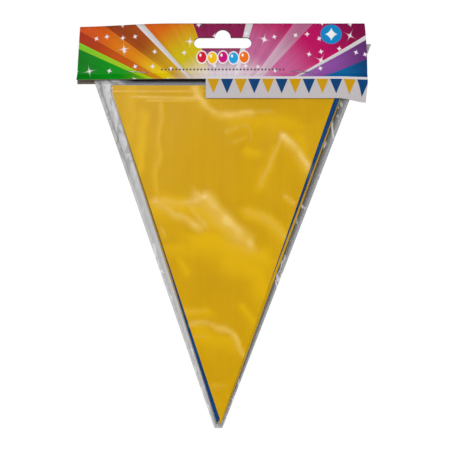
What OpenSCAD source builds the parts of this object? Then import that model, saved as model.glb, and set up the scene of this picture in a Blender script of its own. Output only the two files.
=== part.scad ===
// Hanging retail pack of a string of pennants: a folded header card stapled over the mouth
// of a tapered clear bag that holds twelve pennants, folded up on one carrier tape.
// X runs across the pack, Y from the front (-) to the back (+), Z up.
// The origin is the top of the hang slot, where the pack bears on a display hook.

/* [Header card] */
// Width of the folded header card
card_w = 162; // [150:1:175]
// Thickness of the card
card_t = 0.4; // [0.3:0.05:0.4]
// Top of the fold above the top of the hang slot
fold_rise = 3.6; // [3:0.1:5]
// Clear space between the two panels at the fold
fold_gap = 2.4; // [2:0.1:3]
// Clear space between the two panels where the staples pinch them
pinch_gap = 0.5; // [0.4:0.05:0.8]
// Depth of the staple line below the origin
staple_drop = 23.7; // [22:0.1:23.8]
// Depth of the short left half of the front panel, and of the crease that the strip hangs from
step_drop = 27.8; // [27.6:0.1:28.2]
// Depth of the long right half of the front panel, which is the printed strip
strip_drop = 38.6; // [36:0.1:42]
// Left edge of the strip, from the centre line
strip_left = -9.5; // [-20:0.5:0]
// Depth of the back panel
back_drop = 29.6; // [29.6:0.1:29.8]

/* [Hang slot] */
// Width of the hang slot
slot_w = 32; // [30:0.5:33]
// Height of the straight part of the hang slot
slot_h = 6; // [5.5:0.1:6.5]
// Radius of the half-round hook notch over the slot
notch_r = 4.45; // [4:0.05:5]

/* [Staples] */
// Outside width of a staple's crown
staple_w = 11.7; // [11:0.1:12.5]
// Diameter of the staple wire
wire_d = 0.5; // [0.4:0.05:0.6]
// Middle of the left staple, from the centre line
left_staple_x = -47.6; // [-50:0.1:-42]
// Lean of the left staple, right end down
left_staple_lean = 3.3; // [0:0.1:5]
// Middle of the right staple, from the centre line
right_staple_x = 44.4; // [42:0.1:50]
// Lean of the right staple, right end down
right_staple_lean = 2.2; // [0:0.1:5]
// Length of a clinched leg end
clinch = 3.4; // [2.5:0.1:4]

/* [Bag] */
// Thickness of the bag film
film_t = 0.05; // [0.04:0.01:0.06]
// Depth of the bag's open mouth
mouth_drop = 8; // [7:0.1:9]
// Depth of the bag's shoulder, where it reaches its full thickness
shoulder_drop = 30.5; // [30.4:0.1:31]
// Width of the bag at its shoulder
shoulder_w = 145.8; // [145.5:0.1:150]
// Width of the bag near its tip
tip_w = 12.5; // [12.4:0.1:18]
// Depth at which the bag has that width
tip_drop = 212; // [212:0.5:213]
// Depth of the bottom of the bag
bag_drop = 223; // [223:0.1:224]
// Width of the side welds
weld_w = 1; // [0.8:0.1:1]

/* [Pennants] */
// Width of a pennant at its hem
pennant_w = 124.7; // [122:0.1:125]
// Length of a pennant from its hem's fold to its tip
pennant_h = 188; // [180:0.5:188]
// Height of the hem
hem_h = 5; // [4.8:0.1:5.5]
// Thickness of the pennant film
sheet_t = 0.04; // [0.03:0.01:0.04]
// Thickness of the carrier tape
tape_t = 0.06; // [0.04:0.01:0.06]
// Width of the carrier tape
tape_w = 1.2; // [1:0.1:1.4]

/* [Hidden] */
$fn = 48;
YELLOW = "#e8b800";
BLUE = "#0c4f8c";
CLEAR_FILM = "#c9ccd0";
far = 400;            // longer than the pack, for cutting tools
sliver = 0.01;        // overlap that lets two shapes join

// Header card: places on the panels' middle planes, as (Y, Z) of the front or the back half
fold_r = (fold_gap + card_t) / 2;
fold_z = fold_rise - card_t / 2 - fold_r;
shoulder_z = fold_z - 3;                  // the panels leave the fold upright down to here
pinch_y = (pinch_gap + card_t) / 2;
pinch_top = -22.9;                        // the panels are parallel from here
pinch_bottom = -24.5;                     // to here, and flare over the hems below
step_point = [-pinch_y - 2.3, -step_drop];
back_point = [pinch_y + 1.7, -back_drop];
crease = 0.2;                             // gap at the crease between the panel and the strip
strip_end = [-3.25, -strip_drop];

// Staples
bend_r = wire_d;
crown_y = -(pinch_y + card_t / 2 + wire_d / 2 + 0.12);
clinch_y = pinch_y + card_t / 2 + wire_d / 2 + 0.06;
hole_r = wire_d / 2 + 0.08;

// Bag: its middle line leans a little, so it has one place at the shoulder and one at the tip.
// It has a level, a half thickness inside, and a slope in from the weld at each of four depths.
shoulder_mid = 1.5;
tip_mid = -2.2;
bag_part_z = -29.15;                      // the film is pinned above this and swings below it
part_gap = 0.1;
PINCHED = [pinch_bottom, 0.02, 3];
PARTED = [bag_part_z, 1.4, 3];
SHOULDER = [-shoulder_drop, 2.4, 3];
BOTTOM = [-bag_drop + weld_w, 0.95, 0.8];

// Pennants: each has its own tip place and its own lean, so the pile is a little fanned out
pennants = 12;
tunnel = 0.15;                            // clear thickness inside a hem
hem_weld = 0.6;
hem_t = tunnel + 2 * sheet_t;
pitch = hem_t + tape_t + 0.08;            // from one hem to the next
tip_pitch = 0.12;                         // from one tip to the next
blunt = 0.3;                              // half the width of a tip
hem_top = -shoulder_drop;
tape_level = pennant_h - hem_h / 2;       // the tape's height above a pennant's tip
tape_past = 2.2;                          // the tape turns back this far past the hem's end
tip_x = [-0.9, -3.4, -1.2, -2, -3.3, -1.5, -0.8, -2.4, -1.8, -1, -2.2, -1.4];
lean = [0.5, 1.9, 1.8, 0.9, 1.2, 0.8, 0.7, 1, 1.4, 0.5, 0.8, 1.1];

// A strip of constant thickness along a line of points in a plane
function unit(v) = v / norm(v);
function side(v) = [-v.y, v.x];
function tangent(p, i) = unit(
    (i == 0 ? [0, 0] : unit(p[i] - p[i - 1]))
    + (i == len(p) - 1 ? [0, 0] : unit(p[i + 1] - p[i]))
);
function miter(p, i) =
    i == 0 || i == len(p) - 1 ? 1
    : 1 / (tangent(p, i) * unit(p[i + 1] - p[i]));
function ribbon_side(p, t) = [for (i = [0 : len(p) - 1]) p[i] + side(tangent(p, i)) * miter(p, i) * t / 2];
function reversed(p) = [for (i = [len(p) - 1 : -1 : 0]) p[i]];
function ribbon(p, t) = concat(ribbon_side(p, t), reversed(ribbon_side(p, -t)));

// A profile drawn as (Y, Z), drawn out along X from one place to another
module across(from_x, to_x) {
    translate([from_x, 0, 0])
        rotate([90, 0, 90])
            linear_extrude(to_x - from_x) children();
}

// An outline drawn as (X, Z), drawn out along Y from one place to another
module through(from_y, to_y) {
    translate([0, to_y, 0])
        rotate([90, 0, 0])
            linear_extrude(to_y - from_y) children();
}

module slot_outline(grow = 0) {
    slot_z = -notch_r - slot_h / 2;
    end_r = slot_h / 2;
    translate([0, -notch_r]) circle(notch_r + grow);
    for (s = [-1, 1]) translate([s * (slot_w / 2 - end_r), slot_z]) circle(end_r + grow);
    translate([0, slot_z]) square([slot_w - slot_h, slot_h + 2 * grow], center = true);
}

module at_staple(mid, lean) {
    translate([mid, 0, -staple_drop]) rotate([0, lean, 0]) children();
}

module leg_holes() {
    for (leg = [-1, 1])
        translate([leg * (staple_w - wire_d) / 2, 0, 0])
            rotate([90, 0, 0]) cylinder(h = 10, r = hole_r, center = true);
}

module staple_holes() {
    at_staple(left_staple_x, left_staple_lean) leg_holes();
    at_staple(right_staple_x, right_staple_lean) leg_holes();
}

// The folded card in one blank: back panel, fold and the short part of the front panel
module header_card() {
    fold = [for (a = [180 : -15 : 0]) [fold_r * cos(a), fold_z + fold_r * sin(a)]];
    half = [[fold_r, shoulder_z], [pinch_y, pinch_top], [pinch_y, pinch_bottom]];
    mirrored_half = [for (p = half) [-p.x, p.y]];
    profile = concat([step_point], reversed(mirrored_half), fold, half, [back_point]);
    color("#b8205f") difference() {
        across(-card_w / 2, card_w / 2) polygon(ribbon(profile, card_t));
        through(-10, 10) slot_outline();
        staple_holes();
    }
}

// The long half of the front panel below the crease, which hangs free over the bag
module header_strip() {
    panel_end = unit(step_point - [-pinch_y, pinch_bottom]);
    color("#d8d4d6") across(strip_left, card_w / 2)
        polygon(ribbon([step_point + crease * panel_end, strip_end], card_t));
}

// A quarter bend of wire in the XY plane, from +X round to +Y about the origin
module wire_bend() {
    rotate_extrude(angle = 90) translate([bend_r, 0]) circle(d = wire_d);
}

module staple(mid, lean) {
    half = (staple_w - wire_d) / 2;
    crown = half - bend_r;
    color("#a9adb2") at_staple(mid, lean) {
        translate([-crown, crown_y, 0])
            rotate([0, 90, 0]) cylinder(h = 2 * crown, d = wire_d);
        for (s = [0, 1]) mirror([s, 0, 0]) {
            translate([crown, crown_y + bend_r, 0]) rotate([0, 0, -90]) wire_bend();
            translate([half, crown_y + bend_r, 0])
                rotate([-90, 0, 0]) cylinder(h = clinch_y - crown_y - 2 * bend_r, d = wire_d);
            translate([crown, clinch_y - bend_r, 0]) wire_bend();
            translate([crown - clinch, clinch_y, 0])
                rotate([0, 90, 0]) cylinder(h = clinch, d = wire_d);
        }
    }
}

// The bag's middle and half width at height z
function down_bag(z) = (-shoulder_drop - z) / (tip_drop - shoulder_drop);
function bag_mid(z) = shoulder_mid + (tip_mid - shoulder_mid) * down_bag(z);
function bag_half(z) = (shoulder_w + (tip_w - shoulder_w) * down_bag(z)) / 2;

module bag_outline(top, bottom) {
    polygon([for (corner = [[-1, top], [-1, bottom], [1, bottom], [1, top]])
        [bag_mid(corner.y) + corner.x * bag_half(corner.y), corner.y]]);
}

// The flattened hexagon that the bag encloses at one station, grown by the film's thickness or not
module bag_section(station, grow, rise = 0) {
    z = station[0];
    y = station[1] + grow;
    edge = bag_half(z) - weld_w + grow;
    shelf = edge - station[2];
    translate([bag_mid(z), 0, z - sliver + rise]) linear_extrude(sliver)
        polygon([[-edge, 0], [-shelf, -y], [shelf, -y], [edge, 0], [shelf, y], [-shelf, y]]);
}

module front_half() {
    intersection() {
        children();
        translate([-far, -far, -far]) cube([2 * far, far, 2 * far]);
    }
}

// The front ply of the bag inside the header, from the open mouth to the line where it can swing
module bag_mouth() {
    color(CLEAR_FILM) difference() {
        front_half() {
            through(-film_t, film_t) bag_outline(-mouth_drop, bag_part_z);
            hull() {
                bag_section(PINCHED, film_t);
                bag_section(PARTED, film_t);
            }
        }
        hull() {
            bag_section(PINCHED, 0);
            bag_section(PARTED, 0, -2 * sliver);
        }
        through(-1, 1) slot_outline(0.6);
        staple_holes();
    }
}

// The front ply of the bag below the header, with its half of the welds all round
module bag_film() {
    top = [PARTED[0] - part_gap, PARTED[1], PARTED[2]];
    color(CLEAR_FILM) difference() {
        front_half() {
            through(-film_t, film_t) bag_outline(top[0], -bag_drop);
            hull() {
                bag_section(top, film_t);
                bag_section(SHOULDER, film_t);
                bag_section(BOTTOM, film_t);
            }
        }
        hull() {
            bag_section(top, 0, 2 * sliver);
            bag_section(SHOULDER, 0);
            bag_section(BOTTOM, 0);
        }
    }
}

// Where pennant i hangs: its tip, its hem's middle on the tape, and its tilt back or forward
function hem_y(i) = (i - (pennants - 1) / 2) * pitch;
function tip_y(i) = (i - (pennants - 1) / 2) * tip_pitch;
function tip_z(i) = hem_top - pennant_h * cos(lean[i]) - pennant_w / 2 * sin(lean[i]);
function on_tape(i, along) = [
    tip_x[i] + tape_level * sin(lean[i]) + along * cos(lean[i]),
    hem_y(i),
    tip_z(i) + tape_level * cos(lean[i]) - along * sin(lean[i])
];
function tilt(i) = atan((hem_y(i) - tip_y(i)) / tape_level);

// The tape in one piece, folded to and fro: through a hem, then back behind it to the next
function tape_way(i) = i % 2 == 0 ? 1 : -1;
function tape_turn(p, way) = [for (a = [-60 : 60 : 60])
    p + [way * cos(a), 1 + sin(a), 0] * pitch / 4];
tape_end = pennant_w / 2 + tape_past;
tape_route = [for (i = [0 : pennants - 1]) each concat(
    [on_tape(i, -tape_end), on_tape(i, tape_end)],
    i == pennants - 1 ? []
    : concat(
        tape_turn(on_tape(i, tape_end), 1),
        [
            on_tape(i, tape_end) + [0, pitch / 2, 0],
            on_tape(i + 1, -tape_end) - [0, pitch / 2, 0]
        ],
        tape_turn(on_tape(i + 1, -tape_end) - [0, pitch / 2, 0], -1)
    )
)];

module carrier_tape() {
    flat = [for (p = tape_route) [p.x, p.y]];
    last = len(flat) - 1;
    rings = [for (i = [0 : last], corner = [[-1, -1], [1, -1], [1, 1], [-1, 1]])
        let (out = side(tangent(flat, i)) * miter(flat, i) * corner.x * tape_t / 2)
            tape_route[i] + [out.x, out.y, corner.y * tape_w / 2]];
    walls = [for (i = [0 : last - 1], c = [0 : 3])
        let (a = 4 * i + c, b = 4 * i + (c + 1) % 4)
            each [[a, b, b + 4], [a, b + 4, a + 4]]];
    ends = [[0, 2, 1], [0, 3, 2], [4 * last, 4 * last + 1, 4 * last + 2], [4 * last, 4 * last + 2, 4 * last + 3]];
    color("white") polyhedron(rings, concat(walls, ends));
}

// A pennant with its tip at the origin and its middle plane at Y = 0
module pennant_blank() {
    rim = pennant_h - hem_h;
    through(-hem_t / 2, -hem_t / 2 + sheet_t)
        polygon([[-blunt, 0], [-pennant_w / 2, rim], [pennant_w / 2, rim], [blunt, 0]]);
    translate([-pennant_w / 2, -hem_t / 2, rim]) difference() {
        cube([pennant_w, hem_t, hem_h]);
        translate([-1, sheet_t, hem_weld]) cube([pennant_w + 2, tunnel, hem_h - hem_weld - sheet_t]);
    }
}

module pennant(i) {
    color(i % 2 == 0 ? YELLOW : BLUE)
        translate([tip_x[i], tip_y(i), tip_z(i)])
            rotate([-tilt(i), 0, 0]) rotate([0, lean[i], 0]) pennant_blank();
}

header_card();
header_strip();
staple(left_staple_x, left_staple_lean);  // staple_left
staple(right_staple_x, right_staple_lean);  // staple_right
bag_mouth();  // bag_mouth_front
mirror([0, 1, 0]) bag_mouth();  // bag_mouth_back
bag_film();  // bag_front_film
mirror([0, 1, 0]) bag_film();  // bag_back_film
carrier_tape();
for (i = [0 : pennants - 1])
    pennant(i);
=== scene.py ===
# %% [markdown]
# # A hang pack of pennant bunting
#
# This shop pack is a folded, printed header card that is stapled over the mouth of a tapered clear bag.
# Inside the bag twelve film pennants lie folded up on one ribbon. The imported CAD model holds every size
# and every joint, so the lesson starts by loading it, and each place below is read from it. What Blender
# adds is what makes card and film look thin: folds, creases, gloss and see-through.
# All new pieces are drawn in millimetres, and turned to metres when they are finished.

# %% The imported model
import math

import bmesh
import bpy
import numpy as np
from mathutils import Matrix, Vector, noise


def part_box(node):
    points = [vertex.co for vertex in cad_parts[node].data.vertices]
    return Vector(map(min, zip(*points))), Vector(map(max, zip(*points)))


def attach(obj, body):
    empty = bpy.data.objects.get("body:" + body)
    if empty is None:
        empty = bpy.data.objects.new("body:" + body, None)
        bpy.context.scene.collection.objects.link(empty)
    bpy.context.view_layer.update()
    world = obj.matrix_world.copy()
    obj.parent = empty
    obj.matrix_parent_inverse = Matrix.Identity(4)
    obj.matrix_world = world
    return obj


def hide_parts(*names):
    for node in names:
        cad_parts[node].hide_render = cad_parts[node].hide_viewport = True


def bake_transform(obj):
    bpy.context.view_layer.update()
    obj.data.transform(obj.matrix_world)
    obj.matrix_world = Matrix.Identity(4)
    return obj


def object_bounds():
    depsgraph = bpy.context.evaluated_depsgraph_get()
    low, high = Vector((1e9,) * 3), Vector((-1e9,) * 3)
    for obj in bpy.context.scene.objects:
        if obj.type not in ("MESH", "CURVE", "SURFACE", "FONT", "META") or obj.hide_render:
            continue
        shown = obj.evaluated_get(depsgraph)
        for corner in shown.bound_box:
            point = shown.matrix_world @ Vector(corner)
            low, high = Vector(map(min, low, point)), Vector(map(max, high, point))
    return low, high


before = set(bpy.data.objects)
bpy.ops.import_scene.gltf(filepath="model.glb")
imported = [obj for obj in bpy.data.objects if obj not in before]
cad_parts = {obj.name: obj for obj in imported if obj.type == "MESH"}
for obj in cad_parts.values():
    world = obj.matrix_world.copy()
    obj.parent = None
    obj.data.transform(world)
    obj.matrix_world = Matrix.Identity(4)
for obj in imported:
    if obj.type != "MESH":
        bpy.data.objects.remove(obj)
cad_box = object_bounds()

MM = 0.001


def node_box(name):
    """The lowest and the highest corner of a CAD node, in millimetres."""
    return [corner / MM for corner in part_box(name)]


def node_points(name):
    """All points of a CAD node, in millimetres."""
    return [vertex.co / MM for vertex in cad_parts[name].data.vertices]


print("The pack is", [round(side / MM, 1) for side in cad_box[1] - cad_box[0]], "mm")

# %% [markdown]
# ## Camera and studio
#
# A thin pack with a printed face is best seen square from the front, with a long lens so that its sides
# don't splay. It hangs from its slot, so the pale floor lies well below it. Clear film shows only what it
# mirrors: one fairly small bright softbox high on the left draws its creases, a wide weak one on the
# right fills the shadows, a third one behind lights the back, and a plain white world does the rest.

# %% The camera
LENS = 100
SENSOR = 36
VIEW = 251.3                                   # what the picture takes in, across the pack
AIM_X, AIM_Z = 0.2, 0.4                        # the lens points a little off the pack's middle
FACE_Y = 2                                     # the front film stands this far before the middle
pack_middle = (cad_box[0] + cad_box[1]) / 2

camera_data = bpy.data.cameras.new("camera")
camera_data.lens = LENS
camera_data.sensor_width = SENSOR
camera = bpy.data.objects.new("camera", camera_data)
camera.location = (pack_middle.x + AIM_X * MM, -(VIEW * LENS / SENSOR + FACE_Y) * MM,
                   pack_middle.z + AIM_Z * MM)
camera.rotation_euler = (math.radians(90), 0, 0)
bpy.context.scene.collection.objects.link(camera)
bpy.context.scene.camera = camera
print("The camera stands", round(-camera.location.y, 3), "m in front of the pack")


# %% A helper that adds one node, and one for colours
def linear(code, alpha=1.0):
    """An sRGB hex colour as the linear one that Blender's nodes take."""
    shares = [int(code[i:i + 2], 16) / 255 for i in (0, 2, 4)]
    return tuple(s / 12.92 if s <= 0.04045 else ((s + 0.055) / 1.055) ** 2.4 for s in shares) + (alpha,)


def add(tree, kind, inputs=(), **settings):
    """Adds a shader node with its settings. An input is given a value, a node or one of a node's outputs."""
    node = tree.nodes.new("ShaderNode" + kind)
    for key, value in settings.items():
        setattr(node, key, value)
    for key, value in dict(inputs).items():
        if isinstance(value, bpy.types.Node):
            value = next(output for output in value.outputs if output.enabled)
        if isinstance(value, bpy.types.NodeSocket):
            tree.links.new(value, node.inputs[key])
        else:
            node.inputs[key].default_value = value
    return node


# %% World, lights and floor
WORLD_LIGHT = 0.33                             # how much the white world lights the pack
WORLD_SEEN = 1.0                               # how bright it looks behind the pack

world = bpy.data.worlds.new("white_studio")
world.use_nodes = True
world.node_tree.nodes.clear()
ray = add(world.node_tree, "LightPath")
strength = add(world.node_tree, "MapRange", {"Value": ray.outputs["Is Camera Ray"], "To Min": WORLD_LIGHT,
                                             "To Max": WORLD_SEEN})
backdrop = add(world.node_tree, "Background", {"Color": linear("FFFFFF"), "Strength": strength})
add(world.node_tree, "OutputWorld", {"Surface": backdrop})
bpy.context.scene.world = world
bpy.context.scene.view_settings.view_transform = "Standard"


def softbox(name, place, size, power):
    """A square area light that looks at the middle of the pack."""
    data = bpy.data.lights.new(name, "AREA")
    data.size = size
    data.energy = power
    lamp = bpy.data.objects.new(name, data)
    lamp.location = place
    lamp.rotation_euler = (pack_middle - Vector(place)).to_track_quat("-Z", "Y").to_euler()
    bpy.context.scene.collection.objects.link(lamp)
    print(f"{name}: {power} W from {size} m square")


softbox("key", (-0.28, -1.2, 0.2), 0.34, 7)
softbox("fill", (1.1, -1.2, 0.1), 0.9, 3.5)
softbox("back", (0.5, 1.3, 0.6), 0.8, 20)

FLOOR_DROP = 400                               # below the slot, out of the front view
FLOOR_R = 800
bm = bmesh.new()
bmesh.ops.create_circle(bm, cap_ends=True, segments=96, radius=FLOOR_R * MM)
bmesh.ops.translate(bm, verts=bm.verts, vec=(0, 0, -FLOOR_DROP * MM))
floor_mesh = bpy.data.meshes.new("floor")
bm.to_mesh(floor_mesh)
bm.free()
floor_paint = bpy.data.materials.new("matt_white_floor_paint")
floor_paint.use_nodes = True
floor_paint.node_tree.nodes["Principled BSDF"].inputs["Base Color"].default_value = linear("F4F4F2")
floor_paint.node_tree.nodes["Principled BSDF"].inputs["Roughness"].default_value = 0.8
floor_mesh.materials.append(floor_paint)
floor = bpy.data.objects.new("floor", floor_mesh)
bpy.context.scene.collection.objects.link(floor)

# %% [markdown]
# ## Helpers for thin sheets
#
# Card, bag and pennants are all thin sheets that were cut flat and then folded. So they are made the same
# way: fill a flat outline, cut it across by many planes so that it can bend, keep the flat place of each
# point as its UV, and only then move the points to their folded place. Because the UV is the flat sheet in
# millimetres, print and grain follow the sheet round its folds, as real ink does.


# %% Arcs, ramps and swells
def arc(x, z, radius, start, end, steps):
    """Points along an arc, from one angle to another in degrees."""
    angles = [math.radians(start + (end - start) * i / steps) for i in range(steps + 1)]
    return [(x + radius * math.cos(a), z + radius * math.sin(a)) for a in angles]


def ramp(value, start, end):
    """0 before start, 1 after end, and a soft S between them."""
    t = min(1.0, max(0.0, (value - start) / (end - start)))
    return t * t * (3 - 2 * t)


def swell(x, z, size, tall=1.0, seed=0.0):
    """A soft random field from about -0.5 to 0.5, with swells of that size, stretched in height."""
    return noise.noise(Vector((x / size, z / (size * tall), seed)))


# %% Flat outlines, cuts and finished pieces
def filled(loops):
    """A bmesh of a flat outline with its holes, in the XY plane, with the flat place kept as UV."""
    bm = bmesh.new()
    for loop in loops:
        corners = [bm.verts.new((x, z, 0)) for x, z in loop]
        for a, b in zip(corners, corners[1:] + corners[:1]):
            bm.edges.new((a, b))
    bmesh.ops.triangle_fill(bm, use_beauty=True, use_dissolve=False, edges=bm.edges[:], normal=(0, 0, 1))
    bmesh.ops.reverse_faces(bm, faces=[face for face in bm.faces if face.normal.z < 0])
    return bm


def cut(bm, place, normal):
    """One straight cut across a flat sheet."""
    geometry = bm.verts[:] + bm.edges[:] + bm.faces[:]
    bmesh.ops.bisect_plane(bm, geom=geometry, dist=0.005, plane_co=place, plane_no=normal)


def keep_flat_uv(bm):
    """Writes the flat place of each corner, in millimetres, to the UV map."""
    layer = bm.loops.layers.uv.new("flat")
    for face in bm.faces:
        for loop in face.loops:
            loop[layer].uv = loop.vert.co.xy


def finish_sheet(bm, name, thickness, materials, inner=0, rim=0):
    """Makes the sheet an object in metres, and gives it its thickness."""
    bmesh.ops.scale(bm, verts=bm.verts, vec=(MM, MM, MM))
    for face in bm.faces:
        face.smooth = True
    for edge in bm.edges:
        edge.smooth = not edge.is_boundary
    mesh = bpy.data.meshes.new(name)
    bm.to_mesh(mesh)
    bm.free()
    for material in materials:
        mesh.materials.append(material)
    piece = bpy.data.objects.new(name, mesh)
    bpy.context.scene.collection.objects.link(piece)
    shell = piece.modifiers.new("thickness", "SOLIDIFY")
    shell.thickness = thickness * MM
    shell.offset = 0
    shell.material_offset = inner
    shell.material_offset_rim = rim
    print(f"{name}: {len(mesh.polygons)} faces, {thickness} mm thick")
    return piece


# %% [markdown]
# ## The header's blank
#
# The real card is one die-cut blank, creased across the middle, folded over the bag and stapled. It is
# pinched where the staples pull it together, and flares over the bag below them. A table of this folded
# profile gives Y and Z for each level down the flat blank. A level is a height on the front panel, and on
# the back panel it goes on upwards, so that the print can be drawn before the card is folded.

# %% Levels down the blank
card_low, card_high = node_box("header_card")
strip_low = node_box("header_strip")[0]
CARD_T = 0.4
FOLD_R = 1.4                                   # of the card's middle plane
FOLD_TOP = card_high.z - CARD_T / 2
STEP_LEVEL = -27.8
STRIP_Y, STEP_Y, BACK_Y = -3.25, -2.75, 2.15   # where the panels end, in front and behind
PINCH_Y, PINCH_TOP, PINCH_BOTTOM = 0.45, -22.9, -24.5
SLOT_W, SLOT_H, NOTCH_R = 32, 6, 4.45
straight = FOLD_TOP - FOLD_R - 3
front_profile = [(STRIP_Y, strip_low.z), (STEP_Y, STEP_LEVEL), (-PINCH_Y, PINCH_BOTTOM),
                 (-PINCH_Y, PINCH_TOP), (-FOLD_R, straight)]
fold_profile = arc(0, FOLD_TOP - FOLD_R, FOLD_R, 180, 0, 14)
back_profile = [(FOLD_R, straight), (PINCH_Y, PINCH_TOP), (PINCH_Y, PINCH_BOTTOM), (BACK_Y, card_low.z)]
profile = front_profile + fold_profile + back_profile
over = len(front_profile) + 7                  # the point at the top of the fold
LEVELS = [z for y, z in profile[:over]] + [2 * FOLD_TOP - z for y, z in profile[over:]]
PROFILE_Y = [y for y, z in profile]
PROFILE_Z = [z for y, z in profile]
staples = {name: sum(node_box(name), Vector()) / 2 for name in ("staple_left", "staple_right")}
print("The blank is", round(LEVELS[-1] - LEVELS[0], 1), "mm from edge to edge")

# %% [markdown]
# ## Printed card
#
# The header is folding boxboard: a white, clay-coated face that takes offset print, on a grey-brown back
# of waste fibre. The print is a starburst. Its rays leave one focus below the card, so the angle about
# that focus picks the ray and the distance from it picks how far the colour has deepened: three colour
# ramps hold the near, middle and far colour of all the rays. Small stars are one four-pointed shape in
# a grid of cells, moved, turned and dropped by white noise. A thin varnish gives a weak shine.

# %% The colours of the rays
FOCUS = (1.3, -48.4)
# Angle where each ray starts, counted from the right, then its near, middle and far colour
RAYS = [
    (0, "2898CC", "0068A4", "00366A"),         # navy
    (21.6, "B078BC", "8A4A9C", "5E2A6C"),      # purple
    (27.9, "D0CCCE", "D0CCCE", "D0CCCE"),      # white
    (29.1, "C86498", "BA005C", "7C0040"),      # magenta
    (46, "CCA8BC", "B4648A", "A0286A"),        # pale pink
    (53.2, "C06494", "B00054", "8C0044"),      # magenta
    (72.7, "D0CCCE", "D0CCCE", "D0CCCE"),      # white
    (77.3, "8E1852", "700036", "6A0034"),      # dark magenta
    (108.6, "CCB600", "D45C00", "C64800"),     # orange
    (131.3, "D0CCCE", "D0CCCE", "D0CCCE"),     # white
    (133.9, "C89C00", "9E4400", "8A2800"),     # brown orange
    (142.5, "E6C800", "D87C00", "CE4C00"),     # bright orange
    (148.5, "D09010", "BC5000", "A42C00"),     # red
    (152.4, "B4D410", "9CCC18", "80C41E"),     # lime
    (154.4, "84B800", "009212", "007812"),     # green
]
WHITE_R, NEAR_R, MIDDLE_R, FAR_R = 20, 40, 64, 90
print(len(RAYS), "rays leave a point", round(STEP_LEVEL - FOCUS[1], 1), "mm below the short edge")


# %% Masks and inks
def new_material(name):
    """A new material, its node tree and its Principled shader."""
    material = bpy.data.materials.new(name)
    material.use_nodes = True
    print("New material:", name)
    return material, material.node_tree, material.node_tree.nodes["Principled BSDF"]


def within(tree, distance, edge, soft):
    """A mask that is 1 where a distance is under the edge, and fades out over a soft width."""
    return add(tree, "MapRange", {"Value": distance, "From Min": edge - soft / 2,
                                  "From Max": edge + soft / 2, "To Min": 1, "To Max": 0})


def inked(tree, art, ink, *masks):
    """The art with an ink laid over it where every mask is 1."""
    share = masks[0]
    for mask in masks[1:]:
        share = add(tree, "Math", {0: share, 1: mask}, operation="MULTIPLY")
    return add(tree, "Mix", {0: share, 6: art, 7: ink}, data_type="RGBA")


# %% The starburst
def starburst(tree, place):
    """Rays about the focus. The angle picks the ray, and the distance how far its colour has deepened."""
    from_focus = add(tree, "VectorMath", {0: place, 1: (*FOCUS, 0)}, operation="SUBTRACT")
    aim = add(tree, "SeparateXYZ", {0: from_focus})
    turn = add(tree, "Math", {0: aim.outputs["Y"], 1: aim.outputs["X"]}, operation="ARCTAN2")
    half_turns = add(tree, "Math", {0: turn, 1: math.pi}, operation="DIVIDE")
    reach = add(tree, "VectorMath", {0: from_focus}, operation="LENGTH").outputs["Value"]
    art = linear("E6DCE2")
    for stage, start, end in ((1, WHITE_R, NEAR_R), (2, NEAR_R, MIDDLE_R), (3, MIDDLE_R, FAR_R)):
        colours = add(tree, "ValToRGB", {"Fac": half_turns})
        colours.color_ramp.interpolation = "CONSTANT"
        stops = colours.color_ramp.elements
        for i, ray in enumerate(RAYS):
            stop = stops[i] if i < 2 else stops.new(ray[0] / 180)
            stop.position = ray[0] / 180
            stop.color = linear(ray[stage])
        deepened = add(tree, "MapRange", {"Value": reach, "From Min": start, "From Max": end},
                       interpolation_type="SMOOTHSTEP")
        art = inked(tree, art, colours, deepened)
    # Fine lighter and darker rays within each colour
    fine = add(tree, "TexNoise", {"W": half_turns, "Scale": 46, "Detail": 1}, noise_dimensions="1D")
    dim = add(tree, "MapRange", {"Value": fine, "From Min": 0.3, "From Max": 0.7, "To Min": 0.92,
                                 "To Max": 1.06})
    return add(tree, "VectorMath", {0: art, "Scale": dim}, operation="SCALE")


# %% Stars
STAR_CELL = 8.6                                # a small star for each square of this size
GLINTS = [(-55.4, -10.3), (-74.3, -22.6), (23, -5.4), (71.7, -3.5), (-18.3, -6.8), (54.9, -17.1)]
GLINT_R = 5.4


def star(tree, place, radius, power, soft):
    """A mask with a four-pointed star about the origin. The lower the power, the thinner its arms."""
    arms = add(tree, "SeparateXYZ", {0: place})
    arms = [add(tree, "Math", {0: arms.outputs[axis]}, operation="ABSOLUTE") for axis in "XY"]
    arms = [add(tree, "Math", {0: arm, 1: power}, operation="POWER") for arm in arms]
    total = add(tree, "Math", {0: arms[0], 1: arms[1]}, operation="ADD")
    return within(tree, total, radius ** power, soft * radius ** power)


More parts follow.
